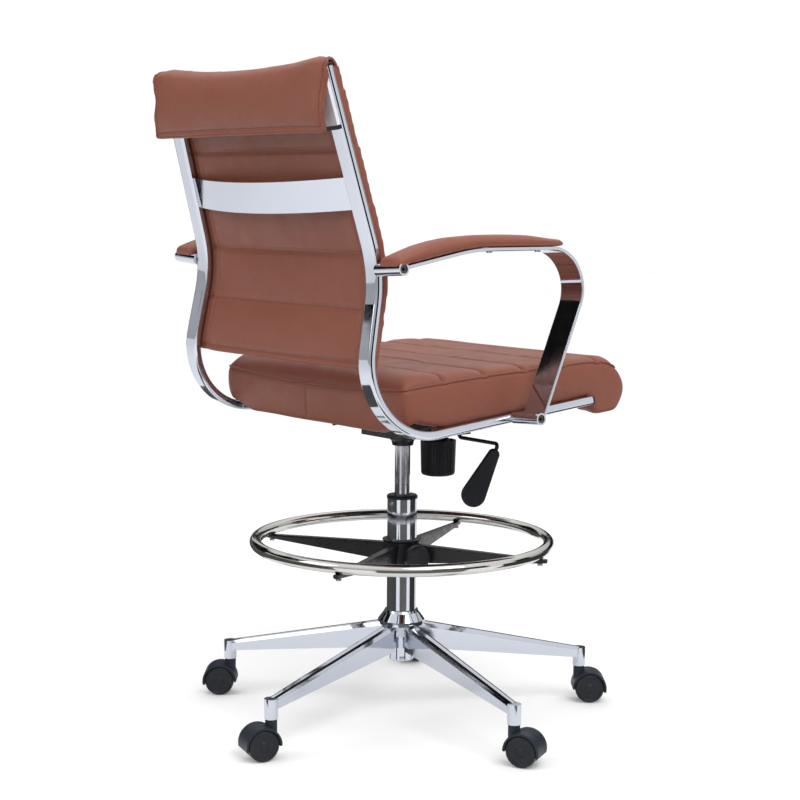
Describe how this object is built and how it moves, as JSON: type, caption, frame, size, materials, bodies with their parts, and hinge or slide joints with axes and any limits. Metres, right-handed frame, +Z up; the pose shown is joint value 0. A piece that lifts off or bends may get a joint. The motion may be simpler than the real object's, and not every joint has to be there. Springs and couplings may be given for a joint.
{
  "type": "drafting chair",
  "caption": "Tall swivel chair with a channelled leather seat and high back on chromed side rails, loop arms, a foot ring and a star base on twin-wheel casters.",
  "frame": {"origin": "on the floor, on the axis of the column", "axes": "+Z up; the sitter faces -Y, so the sitter's right is -X"},
  "size_m": [0.6976, 0.7117, 1.0757],
  "materials": {
    "polished_chrome": "polished",
    "brushed_rod": "satin",
    "tube_steel": "satin",
    "black_steel": "satin",
    "black_plastic": "matte",
    "caster_plastic": "matte",
    "tread": "satin",
    "leatherette": "satin",
    "plywood": "matte",
    "white_felt": "matte",
    "spring_steel": "satin",
    "zinc": "satin"
  },
  "bodies": {
    "base": {"star_base": "polished_chrome", "hub_cap": "polished_chrome", "column_tube": "polished_chrome", "column_cap": "black_plastic", "column_screw": "zinc", "caster_stems": "zinc"},
    "swivel": {"piston_rod": "brushed_rod", "rod_clip": "spring_steel"},
    "lift": {"gas_cylinder": "brushed_rod", "tilt_housing": "black_steel", "tilt_axle": "zinc", "tension_spring": "spring_steel"},
    "valve": {"valve_button": "brushed_rod"},
    "seat": {"seat_plate": "black_steel", "plate_bolts": "zinc", "cross_bars": "black_steel", "seat_board": "plywood", "rail_left": "polished_chrome", "rail_right": "polished_chrome", "rail_plugs": "black_plastic", "cross_brace": "polished_chrome", "seat_cushion": "leatherette", "back_pad": "leatherette", "head_roll": "leatherette", "head_strips": "white_felt", "strip_ends": "black_plastic", "arm_frame_left": "polished_chrome", "arm_frame_right": "polished_chrome", "arm_pad_left": "leatherette", "arm_pad_right": "leatherette", "arm_screws": "zinc", "pad_screws": "zinc"},
    "bolt": {"tension_bolt": "zinc"},
    "knob": {"tension_knob": "black_plastic"},
    "lock": {"lock_slide": "black_steel"},
    "lever": {"lever_rod": "black_steel", "lever_paddle": "black_plastic"},
    "ring_slide": {"ring_collar": "black_plastic"},
    "ring": {"foot_ring": "polished_chrome", "ring_spider": "black_steel", "ring_screws": "zinc"},
    "clamp": {"clamp_knob": "black_plastic", "clamp_screw": "zinc"},
    "caster_1": {"caster_1_hood": "caster_plastic"},
    "wheel_1a": {"caster_1_wheel_a": "tread"},
    "wheel_1b": {"caster_1_wheel_b": "tread"},
    "caster_2": {"caster_2_hood": "caster_plastic"},
    "wheel_2a": {"caster_2_wheel_a": "tread"},
    "wheel_2b": {"caster_2_wheel_b": "tread"},
    "caster_3": {"caster_3_hood": "caster_plastic"},
    "wheel_3a": {"caster_3_wheel_a": "tread"},
    "wheel_3b": {"caster_3_wheel_b": "tread"},
    "caster_4": {"caster_4_hood": "caster_plastic"},
    "wheel_4a": {"caster_4_wheel_a": "tread"},
    "wheel_4b": {"caster_4_wheel_b": "tread"},
    "caster_5": {"caster_5_hood": "caster_plastic"},
    "wheel_5a": {"caster_5_wheel_a": "tread"},
    "wheel_5b": {"caster_5_wheel_b": "tread"}
  },
  "joints": [
    {"name": "seat_swivel", "type": "hinge", "parent": "base", "child": "swivel", "pos_m": [0, 0, 0.3], "axis": [0, 0, 1], "continuous": true},
    {"name": "seat_height", "type": "slide", "parent": "swivel", "child": "lift", "axis": [0, 0, 1], "range_m": [-0.055, 0.145]},
    {"name": "valve_press", "type": "slide", "parent": "lift", "child": "valve", "axis": [0, 0, 1], "range_m": [-0.0031, 0]},
    {"name": "seat_tilt", "type": "hinge", "parent": "lift", "child": "seat", "pos_m": [0, -0.027, 0.494], "axis": [-1, 0, 0], "range_deg": [0, 10], "stiffness_Nm_per_rad": 120, "springref_deg": -20.05},
    {"name": "bolt_lift", "type": "slide", "parent": "lift", "child": "bolt", "axis": [0, 0, 1], "range_m": [0, 0.0122], "deforming": ["tension_spring"]},
    {"name": "tension_turn", "type": "hinge", "parent": "bolt", "child": "knob", "pos_m": [0, -0.078, 0.43], "axis": [0, 0, 1], "range_deg": [-180, 180]},
    {"name": "tilt_lock", "type": "slide", "parent": "lift", "child": "lock", "axis": [1, 0, 0], "range_m": [0, 0.01]},
    {"name": "height_lever", "type": "hinge", "parent": "lock", "child": "lever", "pos_m": [-0.043, -0.065, 0.488], "axis": [0, 1, 0], "range_deg": [0, 4], "stiffness_Nm_per_rad": 2, "springref_deg": -11.46},
    {"name": "ring_height", "type": "slide", "parent": "base", "child": "ring_slide", "axis": [0, 0, 1], "range_m": [-0.07, 0.055]},
    {"name": "ring_turn", "type": "hinge", "parent": "ring_slide", "child": "ring", "pos_m": [0, 0, 0.28], "axis": [0, 0, 1], "continuous": true},
    {"name": "clamp_turn", "type": "hinge", "parent": "ring", "child": "clamp", "pos_m": [-0.04445, 0.00704, 0.276], "axis": [-0.9877, 0.1564, 0], "range_deg": [0, 360]},
    {"name": "caster_1_swivel", "type": "hinge", "parent": "base", "child": "caster_1", "pos_m": [0.27873, 0.16222, 0.06], "axis": [0, 0, 1], "continuous": true},
    {"name": "wheel_1a_spin", "type": "hinge", "parent": "caster_1", "child": "wheel_1a", "pos_m": [0.29006, 0.17621, 0.025], "axis": [-0.7771, 0.6293, 0], "continuous": true},
    {"name": "wheel_1b_spin", "type": "hinge", "parent": "caster_1", "child": "wheel_1b", "pos_m": [0.29006, 0.17621, 0.025], "axis": [-0.7771, 0.6293, 0], "continuous": true},
    {"name": "caster_2_swivel", "type": "hinge", "parent": "base", "child": "caster_2", "pos_m": [-0.06815, 0.31522, 0.06], "axis": [0, 0, 1], "continuous": true},
    {"name": "wheel_2a_spin", "type": "hinge", "parent": "caster_2", "child": "wheel_2a", "pos_m": [-0.06349, 0.3326, 0.025], "axis": [-0.9659, 0.2588, 0], "continuous": true},
    {"name": "wheel_2b_spin", "type": "hinge", "parent": "caster_2", "child": "wheel_2b", "pos_m": [-0.06349, 0.3326, 0.025], "axis": [-0.9659, 0.2588, 0], "continuous": true},
    {"name": "caster_3_swivel", "type": "hinge", "parent": "base", "child": "caster_3", "pos_m": [-0.32085, 0.03259, 0.06], "axis": [0, 0, 1], "continuous": true},
    {"name": "wheel_3a_spin", "type": "hinge", "parent": "caster_3", "child": "wheel_3a", "pos_m": [-0.33689, 0.02442, 0.025], "axis": [0.454, -0.891, 0], "continuous": true},
    {"name": "wheel_3b_spin", "type": "hinge", "parent": "caster_3", "child": "wheel_3b", "pos_m": [-0.33689, 0.02442, 0.025], "axis": [0.454, -0.891, 0], "continuous": true},
    {"name": "caster_4_swivel", "type": "hinge", "parent": "base", "child": "caster_4", "pos_m": [-0.13014, -0.29507, 0.06], "axis": [0, 0, 1], "continuous": true},
    {"name": "wheel_4a_spin", "type": "hinge", "parent": "caster_4", "child": "wheel_4a", "pos_m": [-0.14147, -0.30906, 0.025], "axis": [0.7771, -0.6293, 0], "continuous": true},
    {"name": "wheel_4b_spin", "type": "hinge", "parent": "caster_4", "child": "wheel_4b", "pos_m": [-0.14147, -0.30906, 0.025], "axis": [0.7771, -0.6293, 0], "continuous": true},
    {"name": "caster_5_swivel", "type": "hinge", "parent": "base", "child": "caster_5", "pos_m": [0.24042, -0.21496, 0.06], "axis": [0, 0, 1], "continuous": true},
    {"name": "wheel_5a_spin", "type": "hinge", "parent": "caster_5", "child": "wheel_5a", "pos_m": [0.2544, -0.22628, 0.025], "axis": [0.6293, 0.7771, 0], "continuous": true},
    {"name": "wheel_5b_spin", "type": "hinge", "parent": "caster_5", "child": "wheel_5b", "pos_m": [0.2544, -0.22628, 0.025], "axis": [0.6293, 0.7771, 0], "continuous": true}
  ],
  "couplings": [
    {"joint": "bolt_lift", "follows": "seat_tilt", "m_per_rad": 0.0687},
    {"joint": "valve_press", "follows": "height_lever", "m_per_rad": -0.043}
  ]
}
